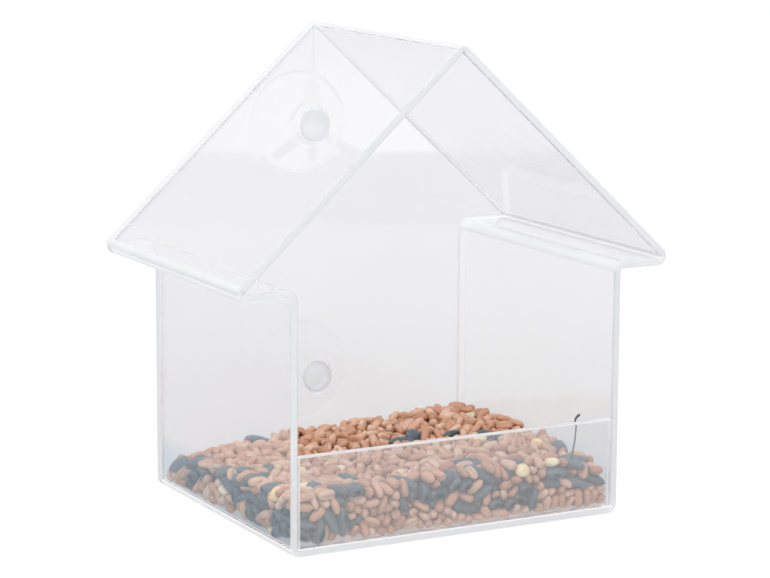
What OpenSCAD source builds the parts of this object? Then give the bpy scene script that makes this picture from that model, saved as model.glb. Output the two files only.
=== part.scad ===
// Clear house-shaped window bird feeder, in millimetres.
// The feeder stands on the XY plane with its open front towards -Y and the window pane towards +Y.
// The origin is the centre of the floor's underside.

/* [House] */
// Width across the outer faces of the side walls
body_w = 116; // [80:1:160]
// Depth of the moulding, from the open front to the outside of the back wall
depth = 100; // [70:1:140]
// Height of the soffits' underside above the table
soffit_h = 79; // [60:1:110]
// Height of the roof, from the soffits' underside to the top of the rounded ridge
roof_h = 72.5; // [50:0.5:110]
// How far each eave tip stands out past its side wall
eave_out = 17; // [10:0.5:40]
// Thickness of every moulded wall
wall_t = 2.5; // [1.5:0.1:4]
// Inside radius of the ridge and of the eave tips
roof_in_r = 0.5; // [0.2:0.1:4]
// Inside radius of the two long edges of the floor
floor_in_r = 0.5; // [0.4:0.1:4]
// Radius in the corner between a side wall and its soffit, on the outside
soffit_r = 1; // [0.5:0.1:3]

/* [Sill] */
// Height of the sill's top edge above the table
sill_h = 31; // [24:0.5:45]
// Thickness of the sill panel
sill_t = 2.5; // [1.5:0.1:4]

/* [Suction cups] */
// Height of the lower cup's axis above the table
lower_cup_h = 31.5; // [28:0.5:45]
// Distance of the upper cup's axis below the top of the ridge
upper_cup_drop = 35.5; // [30:0.5:60]
// Diameter of a cup's rim
cup_d = 35; // [28:1:42]
// Distance from the back wall to the rim that meets the pane
cup_h = 10; // [8:0.5:16]
// Rubber thickness at the crown of the cup
crown_t = 2.6; // [2:0.1:4]
// Width of the flat ring at the rim
rim_t = 0.9; // [0.5:0.1:2]
// Diameter of the boss that seats on the back wall
boss_d = 14; // [12:0.5:18]
// Length of the boss, from its seat to the crown of the cup
boss_l = 1.4; // [1:0.1:3]
// Diameter of the neck that passes through the wall
neck_d = 8; // [5:0.1:9]
// Diameter of the mushroom head inside the house
head_d = 11; // [10:0.1:14]
// Height of the mushroom head
head_h = 4.5; // [3:0.1:5]
// Gap around the neck in its hole
neck_clear = 0.08; // [0.02:0.01:0.1]
// Gap between the wall and the cup, on each side of the wall
seat_clear = 0.2; // [0.1:0.05:0.3]

/* [Seed] */
// Depth of the seed along the sill
seed_front_h = 16; // [12:0.5:18]
// Depth of the seed along the back wall
seed_back_h = 11.5; // [7:0.5:15]
// Rise of the seed from the left wall to the right wall
seed_tilt = 2.5; // [0:0.5:4]
// Height of the mound in the back right quarter of the seed
mound_h = 2; // [0.5:0.5:3]
// Depth of the hollow in the front right corner of the seed
front_hollow_h = 5; // [1:0.5:6]
// Depth of the hollow in the back left corner of the seed
back_hollow_h = 4.5; // [1:0.5:6]
// Height of the lumps that the grains make in the faces of the seed
lump_h = 3; // [1:0.5:4]
// Distance from one lump to the next
lump_pitch = 11; // [8:0.5:16]
// Gap between the seed and the walls around it
seed_clear = 0.3; // [0.2:0.05:0.4]

/* [Hidden] */
$fn = 96;

clear_plastic = [0.9, 0.92, 0.95, 0.35];
soft_pvc = [0.72, 0.78, 0.86, 0.6];
grain_brown = [0.78, 0.5, 0.3];

// Length that carries a cut or a joint past a face
over = 1;
// Smallest radius that a drawn-in corner keeps
least_r = 0.05;
front_y = -depth / 2;
back_y = depth / 2;

// Roof: the eave tips and the ridge are circles, and the slopes are their common tangents
roof_r = roof_in_r + wall_t;
ridge_h = soffit_h + roof_h;
tip = [body_w / 2 + eave_out - roof_r, soffit_h + roof_r];
ridge = [0, ridge_h - roof_r];
slope = atan2(ridge.y - tip.y, tip.x - ridge.x);
slope_out = [sin(slope), cos(slope)];

// Cup: the bell lies between two spheres that meet the flat rim
upper_cup_h = ridge_h - upper_cup_drop;
cup_r = cup_d / 2;
crown_y = seat_clear + boss_l;
bell_rise = cup_h - crown_y;
hollow_rise = bell_rise - crown_t;
bell_r = cap_radius(cup_r, bell_rise);
hollow_r = cap_radius(cup_r - rim_t, hollow_rise);
head_seat_y = -wall_t - seat_clear;
dome_r = cap_radius(head_d / 2, head_h);

// Seed: a surface that falls towards the back wall and the left wall, with a mound and two hollows
seed_front_y = front_y + sill_t + seed_clear;
seed_back_y = back_y - wall_t - seed_clear;
seed_side = body_w / 2 - wall_t - seed_clear;
seed_floor_h = wall_t + seed_clear;
mound = [0.8 * seed_side, 0.4 * seed_back_y];
mound_reach = 0.3 * depth;
front_hollow = [seed_side, seed_front_y];
front_hollow_reach = 0.18 * depth;
back_hollow = [-seed_side, seed_back_y];
back_hollow_reach = 0.25 * depth;

// Lumps: steps of the seed's faces along X, Y and Z, two to a lump
seed_size = [2 * seed_side, seed_back_y - seed_front_y, seed_front_h];
lump_steps = [for (length = seed_size) round(2 * length / lump_pitch)];
// Smallest lump, as a share of the largest
lump_least = 0.5;
// Start of the draw that makes the lumps uneven
lump_draw = 7;

// Radius of the sphere whose cap has this rim radius and this rise
function cap_radius(rim, rise) = (rim * rim + rise * rise) / (2 * rise);

// Place on the seed at a share of its width and a share of its depth
function seed_place(u, v) = [(u - 0.5) * seed_size.x, seed_front_y + v * seed_size.y];

// Share of a mound or hollow that is left at a place
function swell(p, middle, reach) = exp(-(p - middle) * (p - middle) / (reach * reach));

// Height of the seed's heaped surface at a share of its width and a share of its depth, before the lumps
function seed_top(u, v) =
    let (p = seed_place(u, v))
    wall_t + seed_front_h + v * (seed_back_h - seed_front_h) + (u - 0.5) * seed_tilt
        + mound_h * swell(p, mound, mound_reach)
        - front_hollow_h * swell(p, front_hollow, front_hollow_reach)
        - back_hollow_h * swell(p, back_hollow, back_hollow_reach);

// A place on the seed, drawn in from its sides by a length
function drawn_in(p, length) = [
    max(min(p.x, seed_side - length), length - seed_side),
    max(min(p.y, seed_back_y - length), seed_front_y + length)
];

// A point or direction mirrored to the left side
function left(p) = [-p.x, p.y];

// Gable triangle with round corners, drawn in by inset
module roof_outline(inset) {
    r = roof_r - inset;
    polygon([
        left(tip) - [0, r],
        tip - [0, r],
        tip + r * slope_out,
        ridge + r * slope_out,
        ridge + r * left(slope_out),
        left(tip) + r * left(slope_out)
    ]);
    for (centre = [tip, ridge, left(tip)]) {
        translate(centre) circle(r);
    }
}

// Box of the house below the eaves, drawn in by inset, with its lower edges rounded
module body_outline(inset) {
    r = max(floor_in_r + wall_t - inset, least_r);
    side = body_w / 2 - inset;
    corner = [side - r, inset + r];
    polygon([
        left(corner) - [0, r],
        corner - [0, r],
        corner + [r, 0],
        [side, tip.y],
        [-side, tip.y],
        left(corner) - [r, 0]
    ]);
    for (centre = [corner, left(corner)]) {
        translate(centre) circle(r);
    }
}

// Filled corners between the side walls and the soffits
module soffit_corners(inset) {
    r = soffit_r + inset;
    for (hand = [0, 1]) {
        mirror([hand, 0]) difference() {
            translate([body_w / 2 - inset, soffit_h + inset - r]) square(r);
            translate([body_w / 2 + soffit_r, soffit_h - soffit_r]) circle(r);
        }
    }
}

// Front view of the house, drawn in by inset
module house_outline(inset) {
    roof_outline(inset);
    body_outline(inset);
    soffit_corners(inset);
}

// Stretches a front view along Y, from y0 back to y1
module along_y(y0, y1) {
    translate([0, y1, 0]) rotate([90, 0, 0]) linear_extrude(y1 - y0) children();
}

// Moulded house: back wall, floor, side walls, soffits and roof, open at the front
module house_shell() {
    color(clear_plastic) difference() {
        along_y(front_y, back_y) house_outline(0);
        along_y(front_y - over, back_y - wall_t) house_outline(wall_t);
        for (h = [lower_cup_h, upper_cup_h]) {
            translate([0, back_y - wall_t - over, h]) rotate([-90, 0, 0])
                cylinder(h = wall_t + 2 * over, d = neck_d + 2 * neck_clear);
        }
    }
}

// Low panel bonded between the side walls and the floor
module front_sill() {
    color(clear_plastic) along_y(front_y, front_y + sill_t) intersection() {
        body_outline(wall_t);
        translate([-body_w / 2, 0]) square([body_w, sill_h]);
    }
}

// Half section of a suction cup: radius along X, distance behind the back wall along Y
module cup_section() {
    intersection() {
        translate([0, crown_y]) square([cup_r, bell_rise]);
        difference() {
            translate([0, crown_y + bell_r]) circle(bell_r);
            translate([0, crown_y + crown_t + hollow_r]) circle(hollow_r);
        }
    }
    translate([0, seat_clear]) square([boss_d / 2, boss_l + crown_t / 2]);
    translate([0, head_seat_y - head_h / 2]) square([neck_d / 2, head_h / 2 - head_seat_y + crown_y]);
    intersection() {
        translate([0, head_seat_y - head_h]) square([head_d / 2, head_h]);
        translate([0, head_seat_y - head_h + dome_r]) circle(dome_r);
    }
}

// Soft cup with its neck through the back wall at height h
module suction_cup(h) {
    color(soft_pvc) translate([0, back_y, h]) rotate([-90, 0, 0]) rotate_extrude() cup_section();
}

module suction_cup_upper() {
    suction_cup(upper_cup_h);
}

module suction_cup_lower() {
    suction_cup(lower_cup_h);
}

// Loose seed against the sill and the walls: a heaped top and four sides with lumps, and a flat underside
module seed_bed() {
    last = lump_steps - [1, 1, 1];
    row = lump_steps.x + 1;
    count = row * (lump_steps.y + 1);
    size = rands(lump_least * lump_h, lump_h, count, lump_draw);
    top = [
        for (j = [0 : lump_steps.y], i = [0 : lump_steps.x])
            let (u = i / lump_steps.x, v = j / lump_steps.y, rise = (i + j) % 2 - 0.5)
            concat(seed_place(u, v), seed_top(u, v) + rise * size[j * row + i])
    ];
    // Numbers of the top's points along its edge, counter-clockwise from the front left corner
    edge = concat(
        [for (i = [0 : last.x]) i],
        [for (j = [0 : last.y]) j * row + lump_steps.x],
        [for (i = [0 : last.x]) count - 1 - i],
        [for (j = [0 : last.y]) (lump_steps.y - j) * row]
    );
    around = len(edge);
    sides = [
        for (level = [last.z : -1 : 0], k = [0 : around - 1])
            let (p = top[edge[k]], pit = level == 0 ? floor_in_r : (level + k) % 2 * size[k])
            concat(drawn_in(p, pit), seed_floor_h + (p.z - seed_floor_h) * level / lump_steps.z)
    ];
    // Numbers of the points round the sides, ring by ring from the top's edge down to the floor
    rings = concat(
        [edge],
        [for (level = [0 : last.z]) [for (k = [0 : around - 1]) count + level * around + k]]
    );
    underside = rings[lump_steps.z];
    middle = count + len(sides);
    color(grain_brown) polyhedron(
        points = concat(top, sides, [[0, 0, seed_floor_h]]),
        faces = [
            for (j = [0 : last.y], i = [0 : last.x])
                let (a = j * row + i, b = a + row)
                each [[a, b, a + 1], [a + 1, b, b + 1]],
            for (level = [0 : last.z], k = [0 : around - 1])
                let (next = (k + 1) % around, a = rings[level], b = rings[level + 1])
                each [[a[k], a[next], b[next]], [a[k], b[next], b[k]]],
            for (k = [0 : around - 1]) [underside[k], underside[(k + 1) % around], middle]
        ]
    );
}

house_shell();
front_sill();
suction_cup_upper();
suction_cup_lower();
seed_bed();
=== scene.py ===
"""Looks of the clear house-shaped window bird feeder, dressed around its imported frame.

Sizes are in metres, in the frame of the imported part: the feeder stands on the XY plane, its open front
faces -Y and the window pane is towards +Y.
"""

import logging
import math
from collections.abc import Iterable, Iterator
from dataclasses import dataclass, replace
from enum import Enum, IntEnum

import bmesh
import bpy
import numpy as np
from bmesh.types import BMEdge, BMesh, BMFace, BMVert
from bpy.types import Material, Mesh, Node, NodeTree, Object
from bpy.types import NodeSocket as Socket
from mathutils import Matrix, Vector


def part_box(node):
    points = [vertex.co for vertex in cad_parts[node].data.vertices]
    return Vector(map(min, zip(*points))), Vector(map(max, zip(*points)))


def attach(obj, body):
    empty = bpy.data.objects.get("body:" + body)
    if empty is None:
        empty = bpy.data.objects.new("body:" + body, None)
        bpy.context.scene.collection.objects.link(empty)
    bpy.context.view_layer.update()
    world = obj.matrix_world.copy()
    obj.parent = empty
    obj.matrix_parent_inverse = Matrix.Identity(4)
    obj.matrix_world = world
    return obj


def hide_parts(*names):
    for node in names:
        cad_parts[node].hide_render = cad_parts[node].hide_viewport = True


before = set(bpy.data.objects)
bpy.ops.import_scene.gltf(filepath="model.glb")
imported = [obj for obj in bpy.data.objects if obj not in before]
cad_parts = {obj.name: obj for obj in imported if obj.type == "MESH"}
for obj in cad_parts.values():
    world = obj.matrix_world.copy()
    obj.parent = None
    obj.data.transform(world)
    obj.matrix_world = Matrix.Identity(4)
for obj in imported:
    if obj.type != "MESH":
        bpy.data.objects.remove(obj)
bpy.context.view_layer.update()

Colour = tuple[float, float, float]
Point = tuple[float, float, float]

MM = 0.001
# Largest error in a place that counts as none
SLACK = 0.001 * MM
# Number of a piece's second finish, as its faces hold it
SECOND_FINISH = 1
# How far apart in the noise the skins of two seeds may lie
SEED_NOISE_SPREAD = 37.0
# How the wrinkles are drawn out along a seed
WRINKLE_STRETCH = (0.35, 1.0, 1.0)
# Ratio whose powers spread points evenly in three dimensions
EVEN_RATIO = 1.2207440846057596
LOG = logging.getLogger("window_bird_feeder")


class Body(Enum):
    """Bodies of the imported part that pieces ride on."""

    HOUSE = "house"
    UPPER_CUP = "upper_cup"
    LOWER_CUP = "lower_cup"


class Slot(Enum):
    """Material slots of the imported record."""

    CLEAR_PLASTIC = "clear_plastic"
    SOFT_PVC = "soft_pvc"
    SEED_MIX = "seed_mix"


class Graph:
    """Short way to add and link the nodes of one shader tree."""

    MIX_INPUTS = (0, 6, 7)
    MIX_RESULT = 2

    def __init__(self, tree: NodeTree) -> None:
        """Keep the tree that the nodes go into.

        Args:
            tree: Node tree of a material, a world or a group.
        """
        self.tree = tree

    def add(self, kind: str, values: dict | None = None, **settings: object) -> Node:
        """Add a node.

        Args:
            kind: Type of the node without its ShaderNode prefix.
            values: Values, or sockets to link from, for the node's inputs by name or index.
            settings: Properties of the node itself.

        Returns:
            The new node.
        """
        node = self.tree.nodes.new("ShaderNode" + kind)
        for name, value in settings.items():
            setattr(node, name, value)
        self.feed(node, values or {})
        return node

    def feed(self, node: Node, values: dict) -> None:
        """Set a node's inputs.

        Args:
            node: Node to feed.
            values: Values, or sockets to link from, for the node's inputs by name or index.
        """
        for key, value in values.items():
            if isinstance(value, Socket):
                self.tree.links.new(value, node.inputs[key])
            else:
                node.inputs[key].default_value = value

    def math(self, operation: str, *values: object) -> Socket:
        """Work out one number from others.

        Args:
            operation: Name of the Math node's operation.
            values: Numbers, or sockets.

        Returns:
            The result's socket.
        """
        return self.add("Math", dict(enumerate(values)), operation=operation).outputs[0]

    def blend(self, share: Socket, first: Socket, second: Socket) -> Socket:
        """Mix two shaders.

        Args:
            share: Share of the second shader.
            first: First shader.
            second: Second shader.

        Returns:
            The mixed shader's socket.
        """
        return self.add("MixShader", {0: share, 1: first, 2: second}).outputs["Shader"]

    def ramp(self, share: Socket, stops: list[tuple[float, Colour]]) -> Socket:
        """Pick a colour from a row of colours.

        Args:
            share: Place along the row, from 0 to 1.
            stops: Place and colour of each stop, in order.

        Returns:
            The colour's socket.
        """
        node = self.add("ValToRGB", {"Fac": share})
        row = node.color_ramp.elements
        while len(row) < len(stops):
            row.new(0.5)
        for element, (place, colour) in zip(row, stops):
            element.position = place
            element.color = (*colour, 1.0)
        return node.outputs["Color"]

    def mix(self, share: object, first: object, second: object) -> Socket:
        """Mix two colours.

        Args:
            share: Share of the second colour, as a number or a socket.
            first: Colour as three numbers, or a socket.
            second: Colour as three numbers, or a socket.

        Returns:
            The mixed colour's socket.
        """
        ends = [end if isinstance(end, Socket) else (*end, 1.0) for end in (first, second)]
        node = self.add("Mix", dict(zip(self.MIX_INPUTS, (share, *ends))), data_type="RGBA")
        return node.outputs[self.MIX_RESULT]


def new_material(name: str) -> tuple[Material, Graph, Node]:
    """Make an empty node material.

    Args:
        name: Name of the material.

    Returns:
        The material, its graph and its output node.
    """
    material = bpy.data.materials.new(name)
    material.use_nodes = True
    material.node_tree.nodes.clear()
    graph = Graph(material.node_tree)
    return material, graph, graph.add("OutputMaterial")


def new_group(
    name: str, place: str, numbers: tuple[str, ...], results: tuple[str, ...]
) -> tuple[Graph, Node, Node]:
    """Make an empty node group that reads a place and some numbers.

    Args:
        name: Name of the group.
        place: Name of the place's input.
        numbers: Names of the other inputs.
        results: Names of the outputs.

    Returns:
        The group's graph, its input node and its output node.
    """
    tree = bpy.data.node_groups.new(name, "ShaderNodeTree")
    tree.interface.new_socket(place, in_out="INPUT", socket_type="NodeSocketVector")
    for way, names in (("INPUT", numbers), ("OUTPUT", results)):
        for socket in names:
            tree.interface.new_socket(socket, in_out=way, socket_type="NodeSocketFloat")
    return Graph(tree), tree.nodes.new("NodeGroupInput"), tree.nodes.new("NodeGroupOutput")


def moulded_surface_group() -> NodeTree:
    """Build the node group for the cloudy haze and the faint ripple of a moulded surface.

    Returns:
        A group with the inputs Vector, Cloud Scale and Ripple Scale and the outputs Haze and Ripple.
    """
    graph, given, result = new_group(
        "moulded_surface", "Vector", ("Cloud Scale", "Ripple Scale"), ("Haze", "Ripple")
    )
    place, cloud_scale, ripple_scale = given.outputs[:3]
    cloud = graph.add("TexNoise", {"Vector": place, "Scale": cloud_scale, "Detail": 3.0, "Roughness": 0.55})
    ripple = graph.add("TexNoise", {"Vector": place, "Scale": ripple_scale, "Detail": 1.0})
    graph.feed(result, {"Haze": cloud.outputs["Fac"], "Ripple": ripple.outputs["Fac"]})
    return graph.tree


@dataclass(frozen=True)
class ClearFinish:
    """See-through moulded finish, with a light milky haze and soft ripples.

    Attributes:
        name: Name of the material.
        clear: Colour where the haze is thinnest.
        cloudy: Colour where the haze is thickest.
        passes: Share of the light that is refracted; the rest is scattered as haze.
        ior: Index of refraction.
        smooth: Roughness where the surface is best polished.
        dull: Roughness where it is least polished.
        cloud_scale: Number of haze clouds per metre.
        ripple_scale: Number of ripples per metre.
        ripple_h: Height of the ripples.
        lamp_tint: Colour that light keeps on passing one face on its way to the seed.
    """

    name: str
    clear: Colour
    cloudy: Colour
    passes: float
    ior: float
    smooth: float
    dull: float
    cloud_scale: float
    ripple_scale: float
    ripple_h: float
    lamp_tint: Colour

    def build(self, surface: NodeTree) -> Material:
        """Make the material.

        Args:
            surface: Node group of the moulded surface.

        Returns:
            The finished material.
        """
        material, graph, output = new_material(self.name)
        place = graph.add("TexCoord").outputs["Object"]
        scales = {"Cloud Scale": self.cloud_scale, "Ripple Scale": self.ripple_scale}
        moulded = graph.add("Group", {**scales, "Vector": place}, node_tree=surface)
        haze = moulded.outputs["Haze"]
        tint = self.tint(graph, place, haze)
        polish = graph.add("MapRange", {"Value": haze, "To Min": self.smooth, "To Max": self.dull})
        bump = graph.add("Bump", {"Height": moulded.outputs["Ripple"], "Distance": self.ripple_h})
        plastic = graph.add(
            "BsdfPrincipled",
            {
                "Base Color": tint,
                "Roughness": polish.outputs["Result"],
                "Normal": bump.outputs["Normal"],
                "IOR": self.ior,
                "Transmission Weight": self.passes,
            },
        )
        rays = graph.add("LightPath").outputs
        unbent = graph.add("BsdfTransparent", {"Color": (*self.lamp_tint, 1.0)}).outputs["BSDF"]
        for_lamps = graph.blend(rays["Is Shadow Ray"], plastic.outputs["BSDF"], unbent)
        graph.feed(output, {"Surface": graph.blend(rays["Is Diffuse Ray"], for_lamps, unbent)})
        return material

    def tint(self, graph: Graph, place: Socket, haze: Socket) -> Socket:
        """Colour the plastic by its haze.

        Args:
            graph: Graph of the material.
            place: Place on the piece; not used here.
            haze: Thickness of the haze, from 0 to 1.

        Returns:
            Socket of the colour.
        """
        return graph.mix(haze, self.clear, self.cloudy)


@dataclass(frozen=True)
class LowTintFinish(ClearFinish):
    """Clear finish that takes on another colour towards the bottom of the walls.

    Attributes:
        low_tint: Colour towards the bottom of the walls.
        low_tint_h: Height up to which that colour is full.
        untinted_h: Height above which the walls keep their own colour.
        low_tint_x: Distance from the middle, to the left and right, beyond which that colour lies.
    """

    low_tint: Colour
    low_tint_h: float
    untinted_h: float
    low_tint_x: float

    def tint(self, graph: Graph, place: Socket, haze: Socket) -> Socket:
        """Colour the plastic by its haze, and by another colour low on the walls.

        Args:
            graph: Graph of the material.
            place: Place on the piece.
            haze: Thickness of the haze, from 0 to 1.

        Returns:
            Socket of the colour.
        """
        axes = graph.add("SeparateXYZ", {0: place}).outputs
        low = graph.add("MapRange", {"Value": axes["Z"], "From Min": self.untinted_h, "From Max": self.low_tint_h})
        beyond = graph.math("GREATER_THAN", graph.math("ABSOLUTE", axes["X"]), self.low_tint_x)
        # Share of the low colour: full near the floor, none higher up, and only beyond the middle
        low_tint_share = graph.math("MULTIPLY", low.outputs["Result"], beyond)
        return graph.mix(low_tint_share, super().tint(graph, place, haze), self.low_tint)


CLEAR_PLASTIC = LowTintFinish(
    name="clear_plastic",
    clear=(0.96, 0.957, 0.968),
    cloudy=(0.92, 0.916, 0.93),
    passes=0.95,
    ior=1.33,
    smooth=0.01,
    dull=0.05,
    cloud_scale=22.0,
    ripple_scale=55.0,
    ripple_h=0.00003,
    lamp_tint=(0.97, 0.97, 0.973),
    # Darker and bluer towards the bottom of the side walls
    low_tint=(0.77, 0.845, 0.91),
    low_tint_h=12 * MM,
    untinted_h=19 * MM,
    low_tint_x=55 * MM,
)
SILL_PLASTIC = replace(
    CLEAR_PLASTIC,
    name="sill_plastic",
    clear=(0.88, 0.89, 0.905),
    cloudy=(0.83, 0.842, 0.86),
    passes=0.90,
    ior=1.5,
    # The sill is darker and hazier than the walls, and darker still towards its bottom across its whole
    # width
    low_tint=(0.87, 0.862, 0.864),
    low_tint_x=0.0,
)
FROSTED_EDGE = ClearFinish(
    name="frosted_edge",
    clear=(0.86, 0.857, 0.872),
    cloudy=(0.80, 0.796, 0.812),
    passes=0.45,
    ior=1.33,
    smooth=0.25,
    dull=0.45,
    cloud_scale=120.0,
    ripple_scale=300.0,
    ripple_h=0.00003,
    lamp_tint=(0.92, 0.92, 0.925),
)
# Painted shade: a darker grey copy of the frosted edge, for the front rim, the back round and the left back
# strip
PAINTED_SHADE_RIM = replace(
    FROSTED_EDGE,
    name="painted_shade_rim",
    clear=(0.74, 0.74, 0.747),
    cloudy=(0.71, 0.71, 0.717),
    passes=0.15,
)
# Painted shade: a grey copy of the frosted edge, for most rounds of the moulding
PAINTED_SHADE_ROUND = replace(
    FROSTED_EDGE,
    name="painted_shade_round",
    clear=(0.78, 0.78, 0.786),
    cloudy=(0.76, 0.76, 0.766),
    passes=0.4,
)
# Painted light: a whiter copy of the frosted edge, for the rounds along the floor, under the left eave and
# inside the right slope, and for the right back strip
PAINTED_LIGHT_EDGE = replace(
    FROSTED_EDGE,
    name="painted_light_edge",
    clear=(0.93, 0.93, 0.935),
    cloudy=(0.91, 0.91, 0.915),
    passes=0.1,
)
SOFT_PVC = ClearFinish(
    name="soft_pvc",
    clear=(1.0, 1.0, 1.0),
    cloudy=(0.985, 0.987, 0.992),
    passes=0.995,
    ior=1.1,
    smooth=0.01,
    dull=0.05,
    cloud_scale=90.0,
    ripple_scale=160.0,
    ripple_h=0.00004,
    lamp_tint=(0.96, 0.965, 0.975),
)
THICK_PVC = replace(
    SOFT_PVC,
    name="thick_pvc",
    clear=(0.70, 0.715, 0.75),
    cloudy=(0.67, 0.687, 0.72),
    passes=0.9,
    smooth=0.35,
    dull=0.55,
)


def grain_skin_group() -> NodeTree:
    """Build the node group for the blotches and the fine wrinkles of a dry seed's skin.

    Returns:
        A group with the inputs Local, Tone, Blotch Scale and Wrinkle Scale, and the outputs Blotch and
        Wrinkle.
    """
    graph, given, result = new_group(
        "grain_skin", "Local", ("Tone", "Blotch Scale", "Wrinkle Scale"), ("Blotch", "Wrinkle")
    )
    local, tone, blotch_scale, wrinkle_scale = given.outputs[:4]
    apart = graph.math("MULTIPLY", tone, SEED_NOISE_SPREAD)
    own = graph.add("VectorMath", {0: local, 1: apart}, operation="ADD").outputs[0]
    lengthwise = graph.add("VectorMath", {0: own, 1: WRINKLE_STRETCH}, operation="MULTIPLY").outputs[0]
    blotch = graph.add("TexNoise", {"Vector": own, "Scale": blotch_scale, "Detail": 3.0, "Roughness": 0.6})
    wrinkle = graph.add("TexNoise", {"Vector": lengthwise, "Scale": wrinkle_scale, "Detail": 2.0})
    graph.feed(result, {"Blotch": blotch.outputs["Fac"], "Wrinkle": wrinkle.outputs["Fac"]})
    return graph.tree


@dataclass(frozen=True)
class GrainFinish:
    """Skin of one kind of seed.

    Attributes:
        name: Name of the material.
        shades: Colours that the seeds run through, from the first tone to the last.
        blotch: Colour that the blotches take on, and the painted shade in the crease.
        blotch_share: How far the blotches change the colour.
        end: Colour of the seed's blunt end.
        end_share: How far the blunt end changes it.
        rough: Roughness of the skin.
        blotch_scale: Number of blotches per half length.
        wrinkle_scale: Number of wrinkles per half length.
        wrinkle_h: Height of the wrinkles.
        crease_shade_share: How far painted shade darkens the crease along the belly.
        stripe: Colour of the lengthwise stripes.
        stripe_share: How far the stripes change the colour.
        stripe_count: Number of stripes across a seed.
    """

    # Values between which each mask rises, on a seed of half length, half width and half thickness 1
    BLOTCH_RISE = (0.45, 0.75)
    STRIPE_RISE = (0.55, 0.95)
    BELLY_RISE = (-0.15, -0.6)
    GROOVE_RISE = (0.4, 0.05)
    END_RISE = (-0.62, -0.92)

    name: str
    shades: tuple[Colour, ...]
    blotch: Colour
    blotch_share: float
    end: Colour
    end_share: float
    rough: float
    blotch_scale: float
    wrinkle_scale: float
    wrinkle_h: float
    crease_shade_share: float = 0.0
    stripe: Colour = (0.5, 0.4, 0.3)
    stripe_share: float = 0.0
    stripe_count: float = 1.0

    def build(self, skin: NodeTree) -> Material:
        """Make the material.

        Args:
            skin: Node group of the dry skin.

        Returns:
            The finished material.
        """
        material, graph, output = new_material(self.name)
        tone = graph.add("Attribute", attribute_name="tone").outputs["Fac"]
        local = graph.add("Attribute", attribute_name="local").outputs["Vector"]
        scales = {"Blotch Scale": self.blotch_scale, "Wrinkle Scale": self.wrinkle_scale}
        grain = graph.add("Group", {**scales, "Local": local, "Tone": tone}, node_tree=skin)
        axes = graph.add("SeparateXYZ", {0: local}).outputs
        last = len(self.shades) - 1
        colour = graph.ramp(tone, [(index / last, shade) for index, shade in enumerate(self.shades)])
        blotch = self.mask(graph, grain.outputs["Blotch"], self.BLOTCH_RISE, self.blotch_share)
        colour = graph.mix(blotch, colour, self.blotch)
        wave = graph.math("COSINE", graph.math("MULTIPLY", axes["Y"], self.stripe_count * math.pi))
        stripe = self.mask(graph, wave, self.STRIPE_RISE, self.stripe_share)
        colour = graph.mix(stripe, colour, self.stripe)
        # Painted shade: the crease along the belly is darkened to the blotch colour
        belly = self.mask(graph, axes["Z"], self.BELLY_RISE, self.crease_shade_share)
        groove = self.mask(graph, graph.math("ABSOLUTE", axes["Y"]), self.GROOVE_RISE, 1.0)
        colour = graph.mix(graph.math("MULTIPLY", belly, groove), colour, self.blotch)
        blunt = self.mask(graph, axes["X"], self.END_RISE, self.end_share)
        colour = graph.mix(blunt, colour, self.end)
        bump = graph.add("Bump", {"Height": grain.outputs["Wrinkle"], "Distance": self.wrinkle_h})
        husk = graph.add(
            "BsdfPrincipled",
            {"Base Color": colour, "Roughness": self.rough, "Normal": bump.outputs["Normal"]},
        )
        graph.feed(output, {"Surface": husk.outputs["BSDF"]})
        return material

    @staticmethod
    def mask(graph: Graph, value: Socket, rise: tuple[float, float], share: float) -> Socket:
        """Turn a value into a soft mask.

        Args:
            graph: Graph of the material.
            value: Value to read.
            rise: Value at which the mask is 0, and value at which it is full.
            share: The mask when full.

        Returns:
            Socket of the mask.
        """
        empty, full = rise
        limits = {"From Min": empty, "From Max": full, "To Max": share}
        return graph.add("MapRange", {"Value": value, **limits}).outputs["Result"]


WHEAT_SKIN = GrainFinish(
    name="wheat_skin",
    shades=(
        (0.67, 0.46, 0.35),
        (0.64, 0.39, 0.27),
        (0.59, 0.33, 0.21),
        (0.52, 0.265, 0.16),
        (0.42, 0.195, 0.12),
    ),
    blotch=(0.36, 0.17, 0.09),
    blotch_share=0.35,
    # Painted shade in the crease along the belly
    crease_shade_share=0.7,
    end=(0.30, 0.12, 0.05),
    end_share=0.4,
    rough=0.48,
    blotch_scale=1.6,
    wrinkle_scale=9.0,
    wrinkle_h=0.00006,
)
SUNFLOWER_SKIN = GrainFinish(
    name="sunflower_skin",
    shades=((0.040, 0.068, 0.088), (0.053, 0.088, 0.112), (0.070, 0.110, 0.138), (0.095, 0.140, 0.170)),
    blotch=(0.11, 0.15, 0.175),
    blotch_share=0.25,
    stripe=(0.10, 0.105, 0.11),
    stripe_share=0.22,
    stripe_count=7.0,
    end=(0.12, 0.115, 0.10),
    end_share=0.35,
    rough=0.42,
    blotch_scale=2.0,
    wrinkle_scale=12.0,
    wrinkle_h=0.00008,
)
MAIZE_SKIN = GrainFinish(
    name="maize_skin",
    shades=((0.76, 0.54, 0.22), (0.78, 0.62, 0.34), (0.80, 0.69, 0.46), (0.78, 0.62, 0.46)),
    blotch=(0.88, 0.80, 0.58),
    blotch_share=0.6,
    end=(0.85, 0.75, 0.5),
    end_share=0.4,
    rough=0.5,
    blotch_scale=1.2,
    wrinkle_scale=7.0,
    wrinkle_h=0.00008,
)
PALE_SKIN = GrainFinish(
    name="pale_skin",
    shades=((0.62, 0.55, 0.38), (0.66, 0.56, 0.36), (0.50, 0.47, 0.30), (0.72, 0.60, 0.42)),
    blotch=(0.42, 0.30, 0.17),
    blotch_share=0.5,
    end=(0.20, 0.12, 0.07),
    end_share=0.7,
    rough=0.45,
    blotch_scale=1.5,
    wrinkle_scale=6.0,
    wrinkle_h=0.00005,
)


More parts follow.
